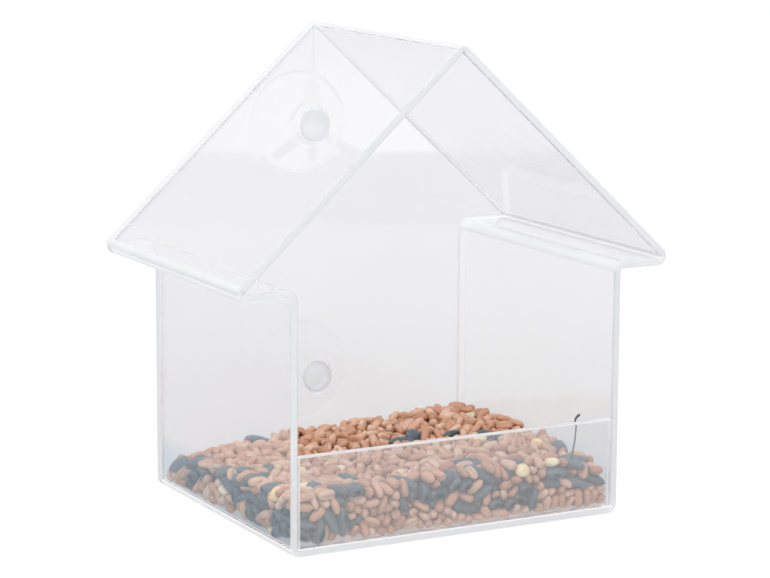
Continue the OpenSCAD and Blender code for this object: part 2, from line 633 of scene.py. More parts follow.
def add_piece(
    name: str,
    mesh: Mesh,
    materials: tuple[Material, ...],
    body: Body,
    node: str,
) -> Object:
    """Show a mesh as a named piece of the feeder.

    Args:
        name: Name of the piece.
        mesh: Finished mesh, in place.
        materials: Finishes of the piece, in the order of its faces' material numbers.
        body: Body that the piece moves with.
        node: Node that the piece stands for.

    Returns:
        The new object.
    """
    mesh.name = name
    for material in materials:
        mesh.materials.append(material)
    piece = bpy.data.objects.new(name, mesh)
    bpy.context.scene.collection.objects.link(piece)
    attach(piece, body.value)
    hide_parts(node)
    LOG.info("%s: %d faces, rides on %s, stands for %s", name, len(mesh.polygons), body.value, node)
    return piece


def finished_mesh(bm: BMesh, name: str) -> Mesh:
    """Close a bmesh into a smooth-shaded mesh.

    Args:
        bm: Working mesh, which is freed.
        name: Name of the mesh.

    Returns:
        The mesh.
    """
    bmesh.ops.remove_doubles(bm, verts=bm.verts, dist=SLACK)
    bmesh.ops.recalc_face_normals(bm, faces=bm.faces)
    for face in bm.faces:
        face.smooth = True
    mesh = bpy.data.meshes.new(name)
    bm.to_mesh(mesh)
    bm.free()
    return mesh


def give_second_finish(bm: BMesh, low: float, high: float, axis: int = 1) -> None:
    """Give the faces between two planes the second finish of their piece.

    Args:
        bm: Working mesh.
        low: Place of the first plane along the axis.
        high: Place of the second plane.
        axis: 0, 1 or 2 for X, Y or Z.
    """
    for face in bm.faces:
        if low - SLACK < face.calc_center_median()[axis] < high + SLACK:
            face.material_index = SECOND_FINISH


def keep_flats_flat(piece: Object) -> None:
    """Let the large flat faces set the shading at their rounded edges.

    Args:
        piece: Piece with flat faces and narrow rounds.
    """
    modifier = piece.modifiers.new("flat_faces", "WEIGHTED_NORMAL")
    modifier.mode = "FACE_AREA"
    modifier.weight = 100


def quarter_round(radius: float, steps: int) -> Iterator[tuple[float, float]]:
    """Walk round a quarter circle that starts along a wall and ends square to it.

    Args:
        radius: Radius of the round.
        steps: Number of straight steps.

    Yields:
        Sideways and forward length of each step.
    """
    angles = np.linspace(0.0, math.pi / 2, steps + 1)
    yield from zip(radius * -np.diff(np.cos(angles)), radius * np.diff(np.sin(angles)))


def round_edges(bm: BMesh, edges: list[BMEdge], radius: float, steps: int) -> None:
    """Round some edges.

    Args:
        bm: Working mesh.
        edges: Edges to round.
        radius: Radius of the rounds.
        steps: Number of straight steps across a round.
    """
    bmesh.ops.bevel(bm, geom=edges, offset=radius, segments=steps, profile=0.5, affect="EDGES", material=-1)


class HouseFinish(IntEnum):
    """Finishes of the moulding, as its faces number them: clear walls, grey painted shade on the rims and
    on the rounds, and white painted light.
    """

    WALL = 0
    SHADED_RIM = 1
    ROUND = 2
    LIGHT = 3


@dataclass
class HouseShell:
    """The clear moulding: back wall, floor, side walls, soffits and roof, open at the front.

    Attributes:
        body_w: Width across the outer faces of the side walls.
        depth: Depth from the open front to the outside of the back wall.
        soffit_h: Height of the soffits' underside.
        ridge_h: Height of the ridge.
        roof_w: Width across the eave tips.
        wall_t: Thickness of every wall.
        roof_r: Outer radius of the ridge and the eave tips.
        floor_r: Outer radius of the floor's long edges.
        soffit_r: Radius under the eaves, in the corner of wall and soffit.
        rim_r: Radius along both edges of the front rim.
        back_r: Radius round the outer edge of the back wall.
        fillet_r: Radius inside, where the walls meet the back wall.
        hole_d: Diameter of the two holes in the back wall.
        hole_heights: Heights of the holes' centres.
        arc_step: Largest turn of one straight step along a round corner, in degrees.
        narrow: Largest width of a face that belongs to a rounded edge.
        back_strip: Width of the strip round the outside, next to the back wall.
        round_steps: Number of straight steps across the rounds at the back wall.
        rim_steps: Number of straight steps across the rounds of the front rim.
        hole_sides: Number of straight steps round a hole.
        downward: Rise of a face's normal below which the face looks down.
    """

    body_w: float = 116 * MM
    depth: float = 100 * MM
    soffit_h: float = 79 * MM
    ridge_h: float = 151.5 * MM
    roof_w: float = 150 * MM
    wall_t: float = 2.5 * MM
    roof_r: float = 3 * MM
    floor_r: float = 3 * MM
    soffit_r: float = 1 * MM
    rim_r: float = 0.35 * MM
    back_r: float = 0.9 * MM
    fillet_r: float = 0.6 * MM
    hole_d: float = 8.16 * MM
    hole_heights: tuple[float, float] = (31.5 * MM, 116 * MM)
    arc_step: float = 9.0
    narrow: float = 0.8 * MM
    back_strip: float = 4.4 * MM
    round_steps: int = 4
    rim_steps: int = 3
    hole_sides: int = 48
    downward: float = -0.2

    @property
    def front_y(self) -> float:
        """Place of the front rim."""
        return -self.depth / 2

    @property
    def back_y(self) -> float:
        """Place of the back wall's outer face."""
        return self.depth / 2

    def corners(self) -> Iterator[tuple[float, float, float, float, float]]:
        """List the round corners of the front view, counter-clockwise from the lower right one.

        Yields:
            Centre along X, centre along Z, radius, and the first and last angle in degrees.
        """
        tip_x = self.roof_w / 2 - self.roof_r
        tip_z = self.soffit_h + self.roof_r
        ridge_z = self.ridge_h - self.roof_r
        slope_out = 90 - math.degrees(math.atan2(ridge_z - tip_z, tip_x))
        wall_x = self.body_w / 2
        floor_x = wall_x - self.floor_r
        under_x = wall_x + self.soffit_r
        under_z = self.soffit_h - self.soffit_r
        yield floor_x, self.floor_r, self.floor_r, -90, 0
        yield under_x, under_z, self.soffit_r, 180, 90
        yield tip_x, tip_z, self.roof_r, -90, slope_out
        yield 0.0, ridge_z, self.roof_r, slope_out, 180 - slope_out
        yield -tip_x, tip_z, self.roof_r, 180 - slope_out, 270
        yield -under_x, under_z, self.soffit_r, 90, 0
        yield -floor_x, self.floor_r, self.floor_r, 180, 270

    def on_right_slope(self, place: Vector) -> bool:
        """Tell whether a place lies on the right slope of the roof."""
        return place.x > 0 and place.z > self.soffit_h + 2 * self.roof_r

    def outline(self, bm: BMesh, y: float) -> BMFace:
        """Draw the front view of the house as one flat face.

        Args:
            bm: Working mesh.
            y: Place of the face.

        Returns:
            The new face.
        """
        ends: list[tuple[BMVert, BMVert]] = []
        for x, z, radius, first, last in self.corners():
            start = math.radians(first)
            corner = bm.verts.new((x + radius * math.cos(start), y, z + radius * math.sin(start)))
            swept = bmesh.ops.spin(
                bm,
                geom=[corner],
                cent=(x, y, z),
                axis=(0, -1, 0),
                angle=math.radians(last - first),
                steps=math.ceil(abs(last - first) / self.arc_step),
            )
            ends.append((corner, next(v for v in swept["geom_last"] if isinstance(v, BMVert))))
        for (_, last_vert), (first_vert, _) in zip(ends, ends[1:] + ends[:1]):
            bm.edges.new((last_vert, first_vert))
        made = bmesh.ops.contextual_create(bm, geom=bm.edges[:])
        return made["faces"][0]

    def model(self) -> Mesh:
        """Model the moulding as one closed wall.

        Returns:
            The mesh.
        """
        bm = bmesh.new()
        face = self.outline(bm, self.back_y - self.back_r)
        rim = list(face.edges)
        self.inset(bm, face, quarter_round(self.back_r, self.round_steps), 1)
        # The round at the back wall's edge gets grey painted shade
        give_second_finish(bm, self.back_y - self.back_r, self.back_y)
        strip = self.back_strip - self.back_r
        walls = self.depth - self.back_strip - self.rim_r
        for length, is_strip in ((strip, True), (walls, False)):
            swept = bmesh.ops.extrude_edge_only(bm, edges=rim)["geom"]
            moved = {v for v in swept if isinstance(v, BMVert)}
            bmesh.ops.translate(bm, verts=list(moved), vec=(0, -length, 0))
            rim = [e for e in swept if isinstance(e, BMEdge) and moved.issuperset(e.verts)]
            for side in {f for v in moved for f in v.link_faces}:
                side.material_index = self.strip_finish(side) if is_strip else HouseFinish.WALL
        made = bmesh.ops.contextual_create(bm, geom=rim)
        inside = made["faces"][0]
        turn_out = list(quarter_round(self.rim_r, self.rim_steps))
        turn_in = [(across, along) for along, across in reversed(turn_out)]
        self.inset(bm, inside, turn_out, 1)
        self.inset(bm, inside, [(self.wall_t - 2 * self.rim_r, 0.0)], 1)
        self.inset(bm, inside, turn_in, -1)
        chamber = self.depth - self.wall_t - self.rim_r - self.fillet_r
        self.inset(bm, inside, [(0.0, chamber)], -1)
        self.inset(bm, inside, quarter_round(self.fillet_r, self.round_steps), -1)
        # The front rim and its rounds get grey painted shade
        give_second_finish(bm, self.front_y, self.front_y + self.rim_r)
        self.paint_light_and_shade_on_rounds(bm)
        self.pierce(bm, face, inside)
        return finished_mesh(bm, "clear_house")

    def strip_finish(self, side: BMFace) -> HouseFinish:
        """Choose the finish of a face in the strip next to the back wall.

        Args:
            side: Face of the strip.

        Returns:
            Its finish: that of the walls on the right slope, white painted light on the rest of the right
                side, and grey painted shade on the left.
        """
        middle = side.calc_center_median()
        if self.on_right_slope(middle):
            return HouseFinish.WALL
        # White painted light on the right, grey painted shade on the left
        return HouseFinish.LIGHT if middle.x > 0 else HouseFinish.SHADED_RIM

    def paint_light_and_shade_on_rounds(self, bm: BMesh) -> None:
        """Paint the narrow faces of the rounded edges grey, as painted shade.

        Those along the floor, under the left eave and inside the right slope get white painted light
        instead.

        Args:
            bm: Working mesh.
        """
        inner_y = self.back_y - self.wall_t - self.fillet_r
        for face in bm.faces:
            if face.material_index == HouseFinish.WALL and face.calc_area() < self.depth * self.narrow:
                face.normal_update()
                middle = face.calc_center_median()
                along_floor = middle.z < self.floor_r
                left_eave = middle.x < 0 and abs(middle.z - self.soffit_h) < self.roof_r
                under_eave = left_eave and face.normal.z < self.downward
                inside_slope = self.on_right_slope(middle) and middle.y > inner_y
                # Painted light on these rounds, grey painted shade on the others
                light = along_floor or under_eave or inside_slope
                face.material_index = HouseFinish.LIGHT if light else HouseFinish.ROUND

    @staticmethod
    def inset(bm: BMesh, face: BMFace, steps: Iterable[tuple[float, float]], way: int) -> None:
        """Draw a face in and push it along, step by step.

        Args:
            bm: Working mesh.
            face: Face that moves.
            steps: Inward and forward length of each step.
            way: 1 to push the face the way it looks, -1 to push it back.
        """
        bm.normal_update()
        for inward, forward in steps:
            bmesh.ops.inset_region(
                bm,
                faces=[face],
                thickness=inward,
                depth=way * forward,
                use_even_offset=True,
                use_boundary=True,
            )

    def pierce(self, bm: BMesh, outer: BMFace, inner: BMFace) -> None:
        """Cut the cup holes through the back wall.

        Args:
            bm: Working mesh.
            outer: Outer face of the back wall.
            inner: Inner face of the back wall.
        """
        rings: list[list[list[BMEdge]]] = []
        for face in (outer, inner):
            border = list(face.edges)
            y = face.verts[0].co.y
            circles = []
            for height in self.hole_heights:
                turn = Matrix.Translation((0, y, height)) @ Matrix.Rotation(math.pi / 2, 4, "X")
                made = bmesh.ops.create_circle(
                    bm, segments=self.hole_sides, radius=self.hole_d / 2, matrix=turn
                )
                circles.append(list({e for v in made["verts"] for e in v.link_edges}))
            bmesh.ops.delete(bm, geom=[face], context="FACES_ONLY")
            bmesh.ops.triangle_fill(bm, edges=border + circles[0] + circles[1], use_beauty=True)
            rings.append(circles)
        for near, far in zip(*rings):
            bmesh.ops.bridge_loops(bm, edges=near + far)

    def build(self, finishes: tuple[Material, ...]) -> Object:
        """Model and dress the moulding.

        Args:
            finishes: Its finishes, in the order of HouseFinish.

        Returns:
            The piece.
        """
        mesh = self.model()
        piece = add_piece("clear_house", mesh, finishes, Body.HOUSE, "house_shell")
        keep_flats_flat(piece)
        return piece


@dataclass
class FrontSill:
    """The low panel bonded across the foot of the open front.

    Attributes:
        bond_t: Thickness of the bond between the panel and the moulding.
        edge_r: Radius of the panel's polished edges.
        edge_steps: Number of straight steps across them.
    """

    bond_t: float = 0.1 * MM
    edge_r: float = 0.4 * MM
    edge_steps: int = 4

    def build(self, plastic: Material, edge: Material) -> Object:
        """Model and dress the panel.

        Args:
            plastic: Finish of its faces.
            edge: Finish of its top edge and of its bonded ends.

        Returns:
            The piece.
        """
        low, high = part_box("front_sill")
        low += Vector((self.bond_t, 0, self.bond_t))
        high -= Vector((self.bond_t, 0, 0))
        bm = bmesh.new()
        place = Matrix.Translation((low + high) / 2) @ Matrix.Diagonal((*(high - low), 1))
        bmesh.ops.create_cube(bm, size=1.0, matrix=place)
        round_edges(bm, bm.edges[:], self.edge_r, self.edge_steps)
        give_second_finish(bm, high.z - self.edge_r, high.z, axis=2)
        give_second_finish(bm, low.x, low.x + self.edge_r, axis=0)
        give_second_finish(bm, high.x - self.edge_r, high.x, axis=0)
        mesh = finished_mesh(bm, "clear_sill")
        piece = add_piece("clear_sill", mesh, (plastic, edge), Body.HOUSE, "front_sill")
        keep_flats_flat(piece)
        return piece


@dataclass
class SuctionCup:
    """A soft cup: mushroom head inside the wall, neck through it, boss and bell behind it.

    Attributes:
        name: Name of the piece.
        node: Node that the piece stands for.
        body: Body that the cup turns with.
        height: Height of the cup's axis.
        wall_y: Place of the back wall's outer face.
        wall_t: Thickness of the back wall.
        cup_d: Diameter of the rim.
        cup_h: Distance from the wall to the rim.
        crown_t: Thickness at the crown of the bell.
        rim_t: Width of the flat ring at the rim.
        boss_d: Diameter of the boss.
        boss_l: Length of the boss.
        neck_d: Diameter of the neck.
        head_d: Diameter of the mushroom head.
        head_h: Height of the mushroom head.
        seat_clear: Gap between the wall and the cup.
        edge_r: Radius of the moulded edges.
        edge_steps: Number of straight steps across them.
        sharp_angle: Turn in degrees from which an edge is rounded.
        arc_steps: Number of straight steps along a cap's section.
        turns: Number of steps round the axis.
        weld: Distance below which two points of the turned section are one.
    """

    name: str
    node: str
    body: Body
    height: float
    wall_y: float = 50 * MM
    wall_t: float = 2.5 * MM
    cup_d: float = 35 * MM
    cup_h: float = 10 * MM
    crown_t: float = 2.6 * MM
    rim_t: float = 0.9 * MM
    boss_d: float = 14 * MM
    boss_l: float = 1.4 * MM
    neck_d: float = 8 * MM
    head_d: float = 11 * MM
    head_h: float = 4.5 * MM
    seat_clear: float = 0.2 * MM
    edge_r: float = 0.3 * MM
    edge_steps: int = 3
    sharp_angle: float = 40.0
    arc_steps: int = 10
    turns: int = 64
    weld: float = 0.01 * MM

    def arc(self, bm: BMesh, rim: float, apex: float, rise: float, reach: float = 0.0) -> list[BMVert]:
        """Draw the section of a spherical cap, from the axis outwards or from a radius outwards.

        Args:
            bm: Working mesh.
            rim: Radius of the cap's rim.
            apex: Distance of the cap's top behind the wall.
            rise: Distance from the top to the rim's plane.
            reach: Radius at which the section starts.

        Returns:
            The section's points, from the axis to the rim.
        """
        radius = (rim * rim + rise * rise) / (2 * rise)
        first = math.asin(reach / radius)
        last = math.asin(rim / radius)
        centre = self.wall_y + apex + radius
        start = bm.verts.new((radius * math.sin(first), centre - radius * math.cos(first), self.height))
        before = set(bm.verts)
        bmesh.ops.spin(
            bm,
            geom=[start],
            cent=(0, centre, self.height),
            axis=(0, 0, 1),
            angle=last - first,
            steps=self.arc_steps,
        )
        swept = [v for v in bm.verts if v not in before]
        return [start, *sorted(swept, key=lambda v: v.co.x)]

    def section(self, bm: BMesh) -> None:
        """Draw half of the cup's section as one open line that starts and ends on the axis.

        Args:
            bm: Working mesh.
        """
        seat = -self.wall_t - self.seat_clear
        crown = self.seat_clear + self.boss_l
        bell_rise = self.cup_h - crown
        hollow_rise = bell_rise - self.crown_t
        head = self.arc(bm, self.head_d / 2, seat - self.head_h, self.head_h)
        bell = self.arc(bm, self.cup_d / 2, crown, bell_rise, reach=self.boss_d / 2)
        hollow = self.arc(bm, self.cup_d / 2 - self.rim_t, crown + self.crown_t, hollow_rise)
        turned = [
            bm.verts.new((radius, self.wall_y + back, self.height))
            for radius, back in (
                (self.neck_d / 2, seat),
                (self.neck_d / 2, self.seat_clear),
                (self.boss_d / 2, self.seat_clear),
            )
        ]
        line = [head[-1], *turned, bell[0]]
        for a, b in zip(line, line[1:]):
            bm.edges.new((a, b))
        bm.edges.new((bell[-1], hollow[-1]))

    def build(self, bell: Material, head: Material) -> Object:
        """Model and dress the cup.

        Args:
            bell: Finish of its bell and its neck.
            head: Finish of the dome of its thick head.

        Returns:
            The piece.
        """
        bm = bmesh.new()
        self.section(bm)
        bmesh.ops.spin(
            bm,
            geom=bm.verts[:] + bm.edges[:],
            cent=(0, self.wall_y, self.height),
            axis=(0, 1, 0),
            angle=2 * math.pi,
            steps=self.turns,
            use_merge=True,
        )
        bmesh.ops.remove_doubles(bm, verts=bm.verts, dist=self.weld)
        bmesh.ops.recalc_face_normals(bm, faces=bm.faces)
        bm.normal_update()
        limit = math.radians(self.sharp_angle)
        sharp = [e for e in bm.edges if e.is_manifold and e.calc_face_angle() > limit]
        round_edges(bm, sharp, self.edge_r, self.edge_steps)
        seat_y = self.wall_y - self.wall_t - self.seat_clear
        give_second_finish(bm, seat_y - self.head_h, seat_y - self.edge_r)
        mesh = finished_mesh(bm, self.name)
        return add_piece(self.name, mesh, (bell, head), self.body, self.node)


class Seed(Enum):
    """Kinds of seed in the mix."""

    WHEAT = "wheat_grains"
    SUNFLOWER = "sunflower_seeds"
    MAIZE = "cracked_maize"
    PALE = "pale_grains"


@dataclass(frozen=True)
class SeedShape:
    """Shape of one kind of seed, in millimetres. A seed is long along its own X, and its belly faces -Z.

    Attributes:
        length: Length of the seed.
        width: Width of the seed.
        thick: Thickness of the seed.
        taper: How much the width shrinks from the blunt end to the tip.
        full: How much fuller than an ellipsoid the seed is towards its ends.
        crease: How far the crease along the belly is drawn in, as a share of the half thickness.
        edge: How flat the seed is pressed towards its rim, as a share of the half thickness.
        balls: Balls that fill the seed in the packing: place along, place across and radius.
    """

    # Facets round a seed and along it
    SIDES = 8
    RINGS = 6
    # Share of the width's taper that the thickness has
    THICK_TAPER = 0.6
    # Where the belly starts and how far the crease reaches, on a seed of half sizes 1
    BELLY_Z = -0.05
    CREASE_REACH = 0.1

    length: float
    width: float
    thick: float
    taper: float
    full: float
    crease: float
    edge: float
    balls: tuple[tuple[float, float, float], ...]

    def model(self, name: str) -> tuple[Mesh, np.ndarray]:
        """Model the seed at the origin.

        Args:
            name: Name of the mesh.

        Returns:
            The mesh in metres, and each point's place on a seed of half length, half width and half
            thickness 1.
        """
        bm = bmesh.new()
        lengthwise = Matrix.Rotation(math.pi / 2, 4, "Y")
        bmesh.ops.create_uvsphere(
            bm, u_segments=self.SIDES, v_segments=self.RINGS, radius=1.0, matrix=lengthwise
        )
        for vert in bm.verts:
            x, y, z = vert.co
            swell = 1 + self.full * x * x
            y *= swell * (1 - self.taper * x)
            z *= swell * (1 - self.THICK_TAPER * self.taper * x) * (1 - self.edge * abs(y))
            if z < self.BELLY_Z and abs(y) < self.CREASE_REACH:
                z *= 1 - self.crease * (1 - x * x)
            vert.co = (x, y, z)
        local = np.array([vert.co for vert in bm.verts])
        size = Matrix.Diagonal((self.length / 2 * MM, self.width / 2 * MM, self.thick / 2 * MM, 1))
        bmesh.ops.transform(bm, matrix=size, verts=bm.verts)
        return finished_mesh(bm, name), local


SEED_SHAPES = {
    Seed.WHEAT: SeedShape(
        length=6.3,
        width=3.4,
        thick=3.1,
        taper=0.08,
        full=0.25,
        crease=0.4,
        edge=0.0,
        balls=((-2.08, 0.05, 1.06), (-0.6, -0.1, 1.48), (0.6, 0.1, 1.48), (2.08, -0.05, 1.06)),
    ),
    Seed.SUNFLOWER: SeedShape(
        length=10.6,
        width=5.8,
        thick=3.9,
        taper=0.3,
        full=0.0,
        crease=0.0,
        edge=0.25,
        balls=(
            (-3.3, 0.0, 1.75),
            (-0.6, -0.95, 1.85),
            (-0.6, 0.95, 1.85),
            (1.9, 0.0, 1.75),
            (4.0, 0.0, 1.15),
        ),
    ),
    Seed.MAIZE: SeedShape(
        length=5.0,
        width=4.4,
        thick=3.1,
        taper=0.15,
        full=0.3,
        crease=0.5,
        edge=0.1,
        balls=((-0.9, -0.3, 1.55), (0.9, -0.3, 1.5), (0.0, 0.7, 1.5)),
    ),
    Seed.PALE: SeedShape(
        length=4.0,
        width=3.3,
        thick=2.7,
        taper=0.12,
        full=0.2,
        crease=0.0,
        edge=0.0,
        balls=((-0.35, 0.0, 1.4), (0.35, 0.15, 1.4), (0.0, -0.3, 1.4)),
    ),
}


def unit(vectors: np.ndarray) -> np.ndarray:
    """Scale each row to length 1."""
    return vectors / np.linalg.norm(vectors, axis=1, keepdims=True)


def square_to(vectors: np.ndarray, axes: np.ndarray) -> np.ndarray:
    """Turn each row square to its axis and scale it to length 1."""
    return unit(vectors - (vectors * axes).sum(1, keepdims=True) * axes)


def sum_by(index: np.ndarray, values: np.ndarray, count: int) -> np.ndarray:
    """Add up rows that share an index.

    Args:
        index: Index of each row.
        values: Rows of three numbers.
        count: Number of sums.

    Returns:
        One row for each index.
    """
    return np.stack([np.bincount(index, values[:, axis], count) for axis in range(3)], axis=1)


class Lie(Enum):
    """Ways that flat seeds lie: the directions of their length and of their width."""

    FRONT = ((1.0, 0.0, 0.0), (0.0, 0.0, 1.0))
    SIDE = ((0.0, 1.0, 0.0), (0.0, 0.0, 1.0))
    TOP = ((1.0, 0.0, 0.0), (0.0, 1.0, 0.0))


@dataclass
class DarkPocket:
    """A place along the walls where the dark seeds gather, in millimetres.

    Attributes:
        centre: Middle of the pocket.
        reach: Half of its size along X, Y and Z.
        lie: How its seeds lie.
    """

    centre: Point
    reach: Point
    lie: Lie = Lie.FRONT

    def holds(self, points: np.ndarray) -> np.ndarray:
        """Tell which points lie in the pocket."""
        return (((points - self.centre) / self.reach) ** 2).sum(1) < 1


@dataclass
class SeedHeap:
    """Loose seeds poured into a box until none sinks into another, in millimetres.

    Attributes:
        low: Lowest corner of the box.
        high: Highest corner of the box.
        front_h: Height of the seed at the front.
        back_h: Height of the seed at the back.
        tilt: Rise of the seed from left to right.
        mounds: Place along X and Y, height and reach of the mounds and hollows in its surface.
        density: Number of seeds in a cubic millimetre.
        shares: Share of each kind of seed.
        dark_share: Share of sunflower seed in the dark pockets.
        dark_density: Share of the seeds that a pocket keeps, because its seeds are larger.
        stray: How far the dark seeds stray from the way that their pocket lies.
        pockets: The dark pockets.
        sweeps: Number of settling steps.
        drop: How far the seeds sink in the first step.
        seen_depth: Depth from the walls or the surface beyond which no seed shows.
        draw: Start of the random draws.
        sizes: Smallest and largest scale of a seed.
        level: How much of a seed's first direction is kept along X, Y and Z.
        renew: Number of steps between two searches for neighbours.
        margin: Largest gap between neighbours.
        haste: How hard balls push each other apart.
        crowding: Power by which a ball's push shrinks with the number of balls that hit it.
    """

    # Smallest distance that is divided by, and shares of a seed's old directions that are kept
    LEAST_DISTANCE = 1e-6
    KEPT_ALONG = 1e-9
    KEPT_ACROSS = 1e-3

    low: np.ndarray
    high: np.ndarray
    front_h: float = 17.5
    back_h: float = 13.0
    tilt: float = 2.5
    mounds: tuple[tuple[float, float, float, float], ...] = (
        (45.0, 20.0, 2.0, 30.0),
        (58.0, -48.0, -5.0, 18.0),
        (-55.0, 50.0, -4.5, 25.0),
    )
    density: float = 0.0200
    shares: tuple[float, ...] = (0.95, 0.012, 0.018, 0.02)
    dark_share: float = 0.5
    dark_density: float = 0.6
    stray: float = 0.35
    pockets: tuple[DarkPocket, ...] = (
        DarkPocket((-52.0, -42.0, 10.0), (9.0, 12.0, 9.0)),
        DarkPocket((-54.0, -8.0, 9.0), (6.0, 42.0, 8.0), Lie.SIDE),
        DarkPocket((-53.0, 36.0, 11.0), (6.0, 14.0, 5.0), Lie.SIDE),
        DarkPocket((-40.0, -45.0, 17.0), (6.0, 4.0, 3.0)),
        DarkPocket((-38.0, -45.0, 6.8), (6.0, 4.0, 3.0)),
        DarkPocket((-10.0, -44.0, 15.0), (13.0, 6.0, 4.0)),
        DarkPocket((20.0, -44.0, 12.5), (19.0, 6.0, 6.0)),
        DarkPocket((46.0, -43.0, 14.5), (11.0, 8.0, 5.5)),
        DarkPocket((49.0, -45.0, 5.5), (6.0, 5.0, 4.0)),
        DarkPocket((12.0, 6.0, 18.0), (6.0, 4.0, 3.0), Lie.TOP),
        DarkPocket((35.0, -2.0, 18.5), (4.0, 4.0, 3.0), Lie.TOP),
        DarkPocket((10.0, 40.0, 16.0), (4.0, 4.0, 3.0), Lie.TOP),
    )
    sweeps: int = 240
    drop: float = 0.03
    seen_depth: float = 6.5
    draw: int = 3
    sizes: tuple[float, float] = (0.9, 1.08)
    level: Point = (1.0, 1.0, 0.2)
    renew: int = 8
    margin: float = 1.0
    haste: float = 1.3
    crowding: float = 0.3

    def surface(self, points: np.ndarray) -> np.ndarray:
        """Give the height of the seed's surface over each point."""
        back = (points[:, 1] - self.low[1]) / (self.high[1] - self.low[1])
        right = points[:, 0] / (self.high[0] - self.low[0])
        height = self.low[2] + self.front_h + (self.back_h - self.front_h) * back + self.tilt * right
        for x, y, rise, reach in self.mounds:
            height += rise * np.exp(-((points[:, 0] - x) ** 2 + (points[:, 1] - y) ** 2) / reach**2)
        return height

    def scatter(self) -> None:
        """Spread the seeds evenly through the space that they will fill."""
        chance = np.random.default_rng(self.draw)
        steps = EVEN_RATIO ** -np.arange(1.0, 4.0)
        room = self.high - self.low
        spread = np.outer(np.arange(1, int(self.density * room.prod())), steps) % 1
        points = self.low + spread * room
        points = points[points[:, 2] < self.surface(points)]
        dark = np.any([pocket.holds(points) for pocket in self.pockets], axis=0)
        kept = ~dark | (chance.random(len(points)) < self.dark_density)
        self.centre = points[kept]
        count = len(self.centre)
        self.kind = chance.choice(len(self.shares), count, p=self.shares)
        kinds = list(Seed)
        self.kind[dark[kept] & (chance.random(count) < self.dark_share)] = kinds.index(Seed.SUNFLOWER)
        self.scale = chance.uniform(*self.sizes, count)
        self.tone = chance.random(count)
        self.along = unit(chance.normal(size=(count, 3)) * self.level)
        self.across = square_to(chance.normal(size=(count, 3)), self.along)
        for pocket in self.pockets:
            flat = pocket.holds(self.centre) & (self.kind == kinds.index(Seed.SUNFLOWER))
            length, width = pocket.lie.value
            self.along[flat] = unit(length + self.stray * self.along[flat])
            self.across[flat] = square_to(width + self.stray * self.across[flat], self.along[flat])
        self.owner: np.ndarray = np.repeat(
            np.arange(count), [len(SEED_SHAPES[kinds[kind]].balls) for kind in self.kind]
        )
        balls = np.concatenate(
            [scale * np.array(SEED_SHAPES[kinds[kind]].balls) for kind, scale in zip(self.kind, self.scale)]
        )
        self.radius = balls[:, 2]
        self.weight = self.radius[:, None] ** 3
        self.seed_weight = np.bincount(self.owner, self.weight[:, 0])[:, None]
        middle = sum_by(self.owner, balls * self.weight, count) / self.seed_weight
        self.place = balls[:, :2] - middle[self.owner, :2]
        self.first_ball = np.searchsorted(self.owner, np.arange(count))

    def ball_points(self) -> np.ndarray:
        """Give the middle of every ball."""
        along = self.place[:, :1] * self.along[self.owner]
        return self.centre[self.owner] + along + self.place[:, 1:] * self.across[self.owner]

    def neighbours(self, points: np.ndarray) -> tuple[np.ndarray, np.ndarray]:
        """Find the pairs of balls of different seeds that lie close together.

        Args:
            points: Middle of every ball.

        Returns:
            The first and the second ball of each pair.
        """
        side = 2 * self.radius.max() + self.margin
        cell = np.floor((points - points.min(0)) / side).astype(np.int64) + 1
        size = cell.max(0) + 2
        stride = np.array([size[1] * size[2], size[2], 1])
        key = cell @ stride
        order = np.argsort(key, kind="stable")
        ranked = key[order]
        around = np.meshgrid(*[(-1, 0, 1)] * 3, indexing="ij")
        near = np.stack(around, axis=-1).reshape(-1, 3)
        pairs = []
        for step in near[len(near) // 2 :]:
            other = key + step @ stride
            start = np.searchsorted(ranked, other, "left")
            found = np.searchsorted(ranked, other, "right") - start
            first = np.repeat(np.arange(len(points)), found)
            rank = np.arange(found.sum()) - np.repeat(np.cumsum(found) - found, found)
            second = order[np.repeat(start, found) + rank]
            keep = (first < second) | step.any()
            pairs.append(np.stack([first[keep], second[keep]]))
        first, second = np.concatenate(pairs, axis=1)
        distance = np.linalg.norm(points[first] - points[second], axis=1)
        gap = distance - self.radius[first] - self.radius[second]
        keep = (self.owner[first] != self.owner[second]) & (gap < self.margin)
        return first[keep], second[keep]

    def part(self, points: np.ndarray, first: np.ndarray, second: np.ndarray) -> np.ndarray:
        """Push balls apart that sink into one another, and back from the walls and the raked surface.

        Args:
            points: Middle of every ball.
            first: First ball of each pair.
            second: Second ball of each pair.

        Returns:
            The balls' new middles.
        """
        apart = points[first] - points[second]
        distance = np.maximum(np.linalg.norm(apart, axis=1), self.LEAST_DISTANCE)
        sunk = self.radius[first] + self.radius[second] - distance
        hit = sunk > 0
        push = apart[hit] * (sunk[hit] / (2 * distance[hit]))[:, None]
        count = len(points)
        move = sum_by(first[hit], push, count) - sum_by(second[hit], push, count)
        hits = np.bincount(np.concatenate([first[hit], second[hit]]), minlength=count)
        radius = self.radius[:, None]
        under = np.maximum(self.low + radius - points, 0)
        beyond = np.maximum(points + radius - self.high, 0)
        move += 2 * under - 2 * beyond
        move[:, 2] -= np.maximum(points[:, 2] + self.radius - self.surface(points), 0)
        return points + self.haste * move / np.maximum(hits, 1)[:, None] ** self.crowding

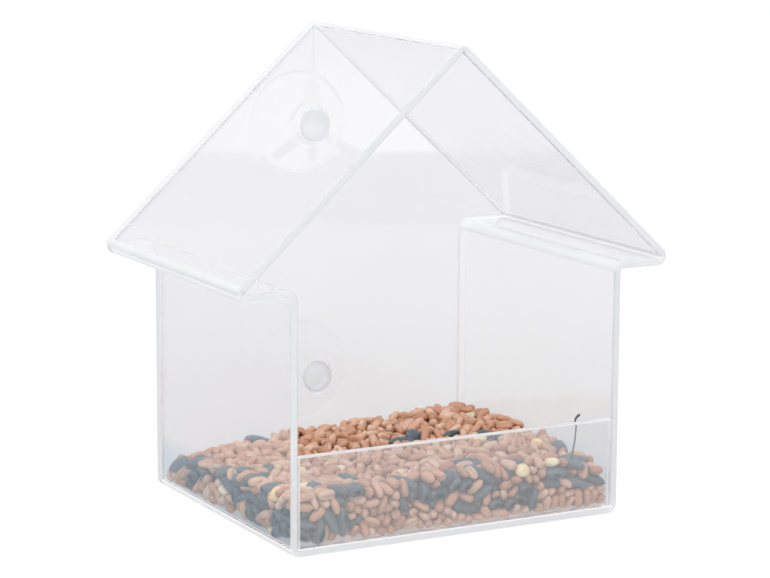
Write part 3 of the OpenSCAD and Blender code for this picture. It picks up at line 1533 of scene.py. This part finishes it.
    def fit(self, points: np.ndarray) -> None:
        """Lay each rigid seed through its moved balls, inside the walls.

        Args:
            points: Middle of every ball.
        """
        count = len(self.centre)
        self.centre = sum_by(self.owner, points * self.weight, count) / self.seed_weight
        arm = (points - self.centre[self.owner]) * self.weight
        self.along = unit(sum_by(self.owner, arm * self.place[:, :1], count) + self.KEPT_ALONG * self.along)
        across = sum_by(self.owner, arm * self.place[:, 1:], count) + self.KEPT_ACROSS * self.across
        self.across = square_to(across, self.along)
        points = self.ball_points()
        radius = self.radius[:, None]
        under = np.maximum.reduceat(self.low + radius - points, self.first_ball)
        beyond = np.maximum.reduceat(points + radius - self.high, self.first_ball)
        self.centre += np.maximum(under, 0) - np.maximum(beyond, 0)

    def settle(self) -> None:
        """Scatter the seeds, then let them sink and part until they lie on each other."""
        self.scatter()
        slope = np.array([self.tilt, self.back_h - self.front_h]) / (self.high - self.low)[:2]
        down = np.array([*slope, -1.0])
        down /= np.linalg.norm(down)
        for sweep in range(self.sweeps):
            self.centre = self.centre + down * self.drop * (1 - sweep / self.sweeps)
            points = self.ball_points()
            if sweep % self.renew == 0:
                first, second = self.neighbours(points)
            self.fit(self.part(points, first, second))

    def shown(self) -> np.ndarray:
        """Tell which seeds lie close enough to the walls or the surface to be seen."""
        to_wall = np.minimum(self.centre - self.low, self.high - self.centre)
        height = self.centre[:, 2]
        to_wall[:, 2] = np.minimum(height - self.low[2], self.surface(self.centre) - height)
        return to_wall.min(1) < self.seen_depth

    def places(self, kind: Seed) -> Iterator[tuple[Matrix, float]]:
        """Give the place of each seed of one kind.

        Args:
            kind: Kind of seed.

        Yields:
            Place of the seed in metres, and its tone.
        """
        for index in np.flatnonzero(self.shown() & (self.kind == list(Seed).index(kind))):
            along = Vector(self.along[index])
            across = Vector(self.across[index])
            turn = Matrix((along, across, along.cross(across))).transposed().to_4x4()
            place = Matrix.Translation(Vector(self.centre[index]) * MM)
            yield place @ turn @ Matrix.Scale(self.scale[index], 4), self.tone[index]


@dataclass
class SeedBed:
    """The loose filling of wheat, black sunflower seed and a few pale grains, in millimetres.

    Attributes:
        wall_t: Thickness of the walls and the floor round the seed.
        clear: Gap between the seeds and the walls.
    """

    wall_t: float = 2.5
    clear: float = 0.1

    def build(self, finishes: dict[Seed, Material]) -> None:
        """Pour the seed, then model and dress each kind as one piece.

        Args:
            finishes: Skin of each kind of seed.
        """
        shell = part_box("house_shell")
        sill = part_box("front_sill")
        low = np.array((sill[0].x, sill[1].y, sill[0].z)) / MM + self.clear
        high = np.array((sill[1].x / MM, shell[1].y / MM - self.wall_t, sill[1].z / MM)) - self.clear
        heap = SeedHeap(low, high)
        heap.settle()
        for kind in Seed:
            mesh = self.model(kind, heap)
            add_piece(kind.value, mesh, (finishes[kind],), Body.HOUSE, "seed_bed")

    @staticmethod
    def model(kind: Seed, heap: SeedHeap) -> Mesh:
        """Model all seeds of one kind.

        Args:
            kind: Kind of seed.
            heap: The settled seeds.

        Returns:
            One mesh of separate seeds, each with its tone and its own coordinates.
        """
        pattern, local = SEED_SHAPES[kind].model(kind.value)
        bm = bmesh.new()
        tones: list[float] = []
        for place, tone in heap.places(kind):
            seed = pattern.copy()
            seed.transform(place)
            bm.from_mesh(seed)
            bpy.data.meshes.remove(seed)
            tones.append(tone)
        mesh = bpy.data.meshes.new(kind.value)
        bm.to_mesh(mesh)
        bm.free()
        bpy.data.meshes.remove(pattern)
        own_tone = mesh.attributes.new("tone", "FLOAT", "POINT")
        own_tone.data.foreach_set("value", np.repeat(tones, len(local)).astype(np.float32))
        own_place = mesh.attributes.new("local", "FLOAT_VECTOR", "POINT")
        own_place.data.foreach_set("vector", np.tile(local, (len(tones), 1)).astype(np.float32).ravel())
        return mesh


@dataclass
class Stalk:
    """A dry bit of stalk among the seed, leaning on the sill, in millimetres.

    Attributes:
        route: Points along the stalk and its radius there, from its foot to its bent tip.
        sides: Number of its sides.
    """

    route: tuple[tuple[float, float, float, float], ...] = (
        (43.2, -44.6, 18.5, 0.25),
        (43.4, -46.3, 25.0, 0.25),
        (43.4, -46.9, 30.2, 0.25),
        (43.9, -46.7, 31.7, 0.35),
        (45.0, -46.4, 32.5, 0.5),
        (45.8, -46.3, 32.8, 0.2),
    )
    sides: int = 6

    def build(self, material: Material) -> Object:
        """Model and dress the stalk.

        Args:
            material: Its finish.

        Returns:
            The piece.
        """
        points = [Vector(point[:3]) * MM for point in self.route]
        bm = bmesh.new()
        rim: list[BMEdge] = []
        for index, point in enumerate(points):
            ahead = points[min(index + 1, len(points) - 1)] - points[max(index - 1, 0)]
            place = Matrix.Translation(point) @ ahead.to_track_quat("Z", "Y").to_matrix().to_4x4()
            radius = self.route[index][3] * MM
            made = bmesh.ops.create_circle(bm, segments=self.sides, radius=radius, matrix=place)
            ring = list({edge for vert in made["verts"] for edge in vert.link_edges})
            if rim:
                bmesh.ops.bridge_loops(bm, edges=rim + ring)
            rim = ring
        bmesh.ops.holes_fill(bm, edges=[edge for edge in bm.edges if edge.is_boundary], sides=self.sides)
        mesh = finished_mesh(bm, "dry_stalk")
        return add_piece("dry_stalk", mesh, (material,), Body.HOUSE, "seed_bed")


@dataclass(frozen=True)
class Softbox:
    """Soft lamp that the camera doesn't see directly.

    Attributes:
        name: Name of the light.
        place: Where it hangs.
        width: Width of its face.
        height: Height of its face.
        power: Power in watts.
        colour: Colour of its light.
        aim: Point that it faces.
    """

    name: str
    place: Point
    width: float
    height: float
    power: float
    colour: Colour
    aim: Point = (0.0, 0.0, 0.05)

    def build(self) -> None:
        """Hang the lamp."""
        light = bpy.data.lights.new(self.name, "AREA")
        light.shape = "RECTANGLE"
        light.size = self.width
        light.size_y = self.height
        light.energy = self.power
        light.color = self.colour
        lamp = bpy.data.objects.new(self.name, light)
        lamp.location = self.place
        lamp.rotation_mode = "QUATERNION"
        lamp.rotation_quaternion = (Vector(self.aim) - Vector(self.place)).to_track_quat("-Z", "Y")
        lamp.visible_camera = False
        bpy.context.scene.collection.objects.link(lamp)


@dataclass
class Studio:
    """Pale floor, soft light and the camera.

    Attributes:
        floor_side: Side of the square floor.
        floor_drop: How far the floor lies below the feeder.
        floor_colour: Colour of the floor.
        floor_glow: Light that the floor gives off by itself, as on a light table.
        painted_floor_light_and_shade: Distance from the feeder and brightness of the glow there, as seen
            through the plastic: a painted pool of shade round the feeder, and painted light and dark rings.
        sky: Brightness of the soft light from all round.
        sky_colour: Colour of that light.
        softboxes: The lamps.
        bounces: Render settings for the number of clear walls and surfaces that light may meet.
    """

    floor_side: float = 14.0
    floor_drop: float = 0.0002
    floor_colour: Colour = (0.15, 0.15, 0.15)
    floor_glow: float = 0.87
    # Painted pool of shade near the feeder, and painted light and dark rings further out
    painted_floor_light_and_shade: tuple[tuple[float, float], ...] = (
        (0.0, 0.71),
        (0.15, 0.75),
        (0.35, 0.82),
        (0.56, 0.845),
        (0.58, 0.81),
        (0.86, 0.83),
        (0.88, 0.97),
        (1.30, 0.97),
        (1.60, 0.91),
    )
    sky: float = 1.0
    sky_colour: Colour = (0.98, 0.985, 1.0)
    softboxes: tuple[Softbox, ...] = (
        Softbox("top_softbox", (-0.5, -0.5, 1.3), 0.9, 0.9, 9.0, (1.0, 0.98, 0.95)),
        Softbox("front_softbox", (-1.1, -1.5, 0.45), 1.4, 0.8, 5.0, (0.72, 0.88, 1.0)),
    )
    bounces: tuple[tuple[str, int], ...] = (
        ("max_bounces", 32),
        ("transmission_bounces", 32),
        ("glossy_bounces", 16),
        ("transparent_max_bounces", 48),
        ("diffuse_bounces", 6),
    )

    def floor(self) -> None:
        """Lay the floor."""
        bm = bmesh.new()
        bmesh.ops.create_grid(bm, x_segments=2, y_segments=2, size=self.floor_side / 2)
        mesh = bpy.data.meshes.new("floor")
        bm.to_mesh(mesh)
        bm.free()
        material, graph, output = new_material("pale_floor")
        white = self.paint(graph, (1.0, 1.0, 1.0, 1.0))
        # Painted shade and rings for every ray but the camera's; the camera sees the floor evenly white
        through = self.paint(graph, self.tone(graph))
        direct = graph.add("LightPath").outputs["Is Camera Ray"]
        graph.feed(output, {"Surface": graph.blend(direct, through, white)})
        mesh.materials.append(material)
        floor = bpy.data.objects.new("floor", mesh)
        floor.location.z = -self.floor_drop
        bpy.context.scene.collection.objects.link(floor)

    def paint(self, graph: Graph, glow: object) -> Socket:
        """Make the floor's dull, lightly glowing paint.

        Args:
            graph: Graph of the material.
            glow: Colour of its glow, as four numbers or a socket.

        Returns:
            Socket of the shader.
        """
        paint = graph.add(
            "BsdfPrincipled",
            {
                "Base Color": (*self.floor_colour, 1.0),
                "Roughness": 0.9,
                "Specular IOR Level": 0.0,
                "Emission Color": glow,
                "Emission Strength": self.floor_glow,
            },
        )
        return paint.outputs["BSDF"]

    def tone(self, graph: Graph) -> Socket:
        """Paint a pool of shade round the feeder, and light and dark rings, into the glow as seen through
        the plastic.

        Args:
            graph: Graph of the material.

        Returns:
            Socket of the colour.
        """
        place = graph.add("TexCoord").outputs["Object"]
        distance = graph.add("VectorMath", {0: place}, operation="LENGTH").outputs["Value"]
        farthest = self.painted_floor_light_and_shade[-1][0]
        share = graph.add("MapRange", {"Value": distance, "From Max": farthest}).outputs["Result"]
        stops = [(reach / farthest, (tone, tone, tone)) for reach, tone in self.painted_floor_light_and_shade]
        return graph.ramp(share, stops)

    def lights(self) -> None:
        """Set the even light from all round and the softboxes."""
        world = bpy.data.worlds.new("soft_room")
        bpy.context.scene.world = world
        world.use_nodes = True
        background = world.node_tree.nodes["Background"]
        background.inputs["Color"].default_value = (*self.sky_colour, 1.0)
        background.inputs["Strength"].default_value = self.sky
        for softbox in self.softboxes:
            softbox.build()

    def render_settings(self) -> None:
        """Keep tones as they are, and let light pass through many clear walls."""
        scene = bpy.context.scene
        scene.view_settings.view_transform = "Standard"
        for setting, count in self.bounces:
            setattr(scene.cycles, setting, count)
        scene.cycles.caustics_refractive = False
        scene.cycles.caustics_reflective = False


@dataclass
class PhotoCamera:
    """Camera at the photograph's viewing angle.

    Attributes:
        target: Point that it looks at.
        azimuth: Degrees round the feeder; 0 looks along +Y.
        elevation: Degrees above the horizon.
        roll: Degrees that the picture is turned clockwise.
        distance: Distance from the target.
        lens: Focal length in millimetres.
        sensor_w: Width of the sensor in millimetres.
    """

    target: Point = (0.00047, 0.0, 0.06926)
    azimuth: float = -28.38
    elevation: float = 10.36
    roll: float = 0.29
    distance: float = 0.86396
    lens: float = 125.95
    sensor_w: float = 36.0

    def build(self) -> None:
        """Set up the scene's camera."""
        data = bpy.data.cameras.new("photo_camera")
        data.sensor_width = self.sensor_w
        data.sensor_fit = "HORIZONTAL"
        data.lens = self.lens
        camera = bpy.data.objects.new("photo_camera", data)
        around = math.radians(self.azimuth)
        up = math.radians(self.elevation)
        back = Vector((math.sin(around) * math.cos(up), -math.cos(around) * math.cos(up), math.sin(up)))
        look = (-back).to_track_quat("-Z", "Y").to_matrix().to_4x4()
        place = Matrix.Translation(Vector(self.target) + back * self.distance)
        camera.matrix_world = place @ look @ Matrix.Rotation(math.radians(self.roll), 4, "Z")
        bpy.context.scene.collection.objects.link(camera)
        bpy.context.scene.camera = camera


def main() -> None:
    """Build the feeder piece by piece, then light it and place the camera."""
    logging.basicConfig(level=logging.INFO, format="%(message)s")
    surface = moulded_surface_group()
    plastic = CLEAR_PLASTIC.build(surface)
    edge = FROSTED_EDGE.build(surface)
    pvc = SOFT_PVC.build(surface)
    head = THICK_PVC.build(surface)
    painted_edges = (PAINTED_SHADE_RIM.build(surface), PAINTED_SHADE_ROUND.build(surface), PAINTED_LIGHT_EDGE.build(surface))
    house = HouseShell()
    house.build((plastic, *painted_edges))
    lower_h, upper_h = house.hole_heights
    FrontSill().build(SILL_PLASTIC.build(surface), edge)
    SuctionCup("upper_cup_soft", "suction_cup_upper", Body.UPPER_CUP, upper_h).build(pvc, head)
    SuctionCup("lower_cup_soft", "suction_cup_lower", Body.LOWER_CUP, lower_h).build(pvc, head)
    skin = grain_skin_group()
    husk = SUNFLOWER_SKIN.build(skin)
    SeedBed().build(
        {
            Seed.WHEAT: WHEAT_SKIN.build(skin),
            Seed.SUNFLOWER: husk,
            Seed.MAIZE: MAIZE_SKIN.build(skin),
            Seed.PALE: PALE_SKIN.build(skin),
        }
    )
    Stalk().build(husk)
    studio = Studio()
    studio.floor()
    studio.lights()
    studio.render_settings()
    PhotoCamera().build()


if __name__ == "__main__":
    main()
